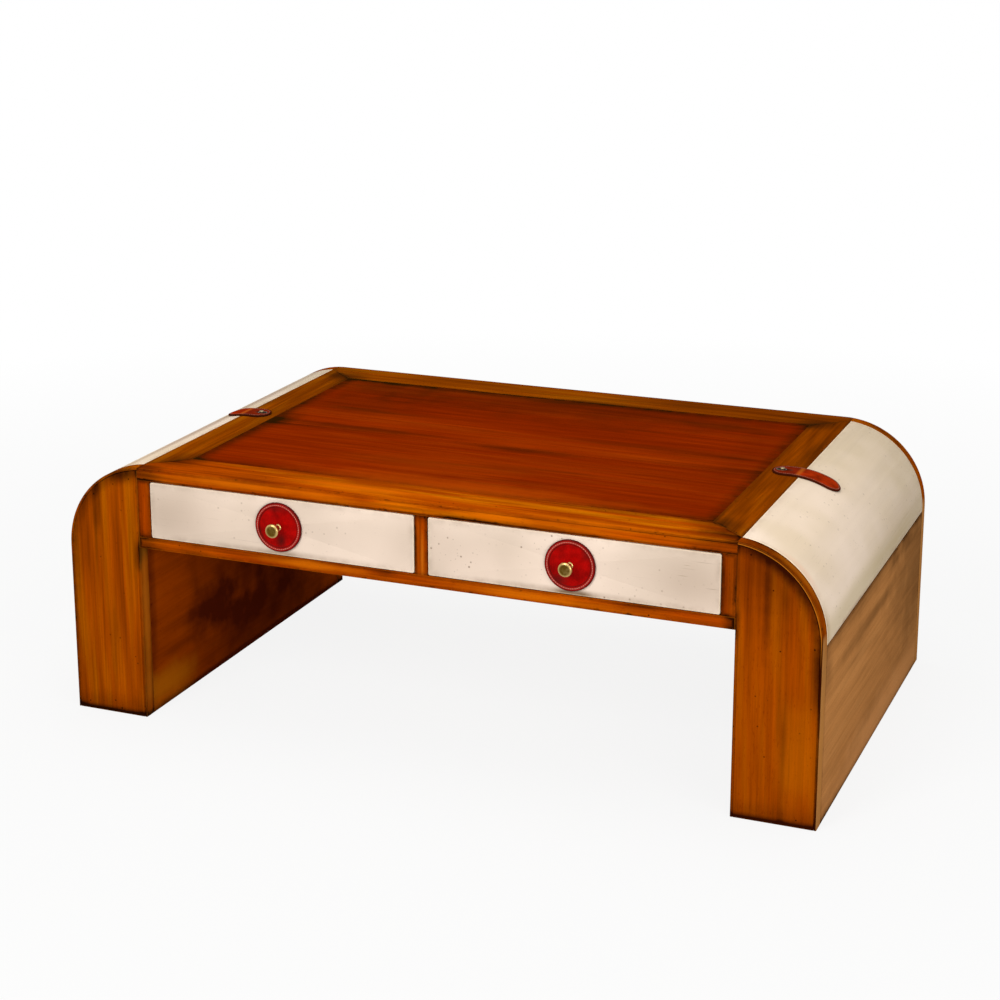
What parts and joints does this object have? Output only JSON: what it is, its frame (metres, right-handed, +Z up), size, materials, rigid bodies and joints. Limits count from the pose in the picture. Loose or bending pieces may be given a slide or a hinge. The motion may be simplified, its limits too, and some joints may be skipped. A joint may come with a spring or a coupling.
{
  "type": "coffee table",
  "caption": "Low waterfall coffee table with rounded ends that open as lids, leather straps, and drawers with a leather disc and brass knob on each front.",
  "frame": {"origin": "on the floor at the middle of the whole table's box, knobs included", "axes": "+X along the length, the drawers open towards -Y, +Z up"},
  "size_m": [1.2, 0.7254, 0.4164],
  "materials": {
    "honey_wood": "satin",
    "cherry_wood": "satin",
    "dark_wood": "satin",
    "brown_wood": "satin",
    "cream_paint": "satin",
    "lid_paint": "satin",
    "plain_wood": "matt",
    "red_leather": "satin",
    "brass": "aged",
    "steel": "brushed"
  },
  "bodies": {
    "carcase": {"top_front_rail": "cherry_wood", "top_back_rail": "cherry_wood", "top_left_rail": "cherry_wood", "top_right_rail": "cherry_wood", "top_panel_front_board": "dark_wood", "top_panel_back_board": "dark_wood", "apron_bottom_rail": "honey_wood", "apron_left_stile": "honey_wood", "apron_right_stile": "honey_wood", "apron_divider": "honey_wood", "back_apron": "brown_wood", "centre_partition": "plain_wood", "dust_board": "plain_wood", "drawer_stops": "plain_wood", "strap_studs": "steel", "leg_pivot_plates": "steel", "left_leg_front_board": "honey_wood", "left_leg_back_board": "honey_wood", "left_leg_inner_panel": "dark_wood", "left_leg_outer_panel": "brown_wood", "left_leg_floor": "plain_wood", "left_front_lid_rest": "plain_wood", "left_back_lid_rest": "plain_wood", "left_outer_runner": "plain_wood", "left_inner_runner": "plain_wood", "right_leg_front_board": "honey_wood", "right_leg_back_board": "honey_wood", "right_leg_inner_panel": "dark_wood", "right_leg_outer_panel": "brown_wood", "right_leg_floor": "plain_wood", "right_front_lid_rest": "plain_wood", "right_back_lid_rest": "plain_wood", "right_outer_runner": "plain_wood", "right_inner_runner": "plain_wood"},
    "drawer_left": {"left_drawer_front": "cream_paint", "left_drawer_inner_side": "plain_wood", "left_drawer_outer_side": "plain_wood", "left_drawer_back": "plain_wood", "left_drawer_bottom": "plain_wood", "left_drawer_disc": "red_leather", "left_drawer_knob": "brass", "left_drawer_knob_bolt": "brass"},
    "drawer_right": {"right_drawer_front": "cream_paint", "right_drawer_inner_side": "plain_wood", "right_drawer_outer_side": "plain_wood", "right_drawer_back": "plain_wood", "right_drawer_bottom": "plain_wood", "right_drawer_disc": "red_leather", "right_drawer_knob": "brass", "right_drawer_knob_bolt": "brass"},
    "lid_left": {"left_lid": "lid_paint", "left_lid_pivot_plates": "steel", "left_lid_strap": "red_leather"},
    "lid_right": {"right_lid": "lid_paint", "right_lid_pivot_plates": "steel", "right_lid_strap": "red_leather"}
  },
  "joints": [
    {"name": "left_drawer_slide", "type": "slide", "parent": "carcase", "child": "drawer_left", "axis": [0, -1, 0], "range_m": [0, 0.4]},
    {"name": "right_drawer_slide", "type": "slide", "parent": "carcase", "child": "drawer_right", "axis": [0, -1, 0], "range_m": [0, 0.4]},
    {"name": "left_lid_hinge", "type": "hinge", "parent": "carcase", "child": "lid_left", "pos_m": [-0.597, 0.0127, 0.2694], "axis": [0, -1, 0], "range_deg": [0, 90]},
    {"name": "right_lid_hinge", "type": "hinge", "parent": "carcase", "child": "lid_right", "pos_m": [0.597, 0.0127, 0.2694], "axis": [0, 1, 0], "range_deg": [0, 90]}
  ]
}
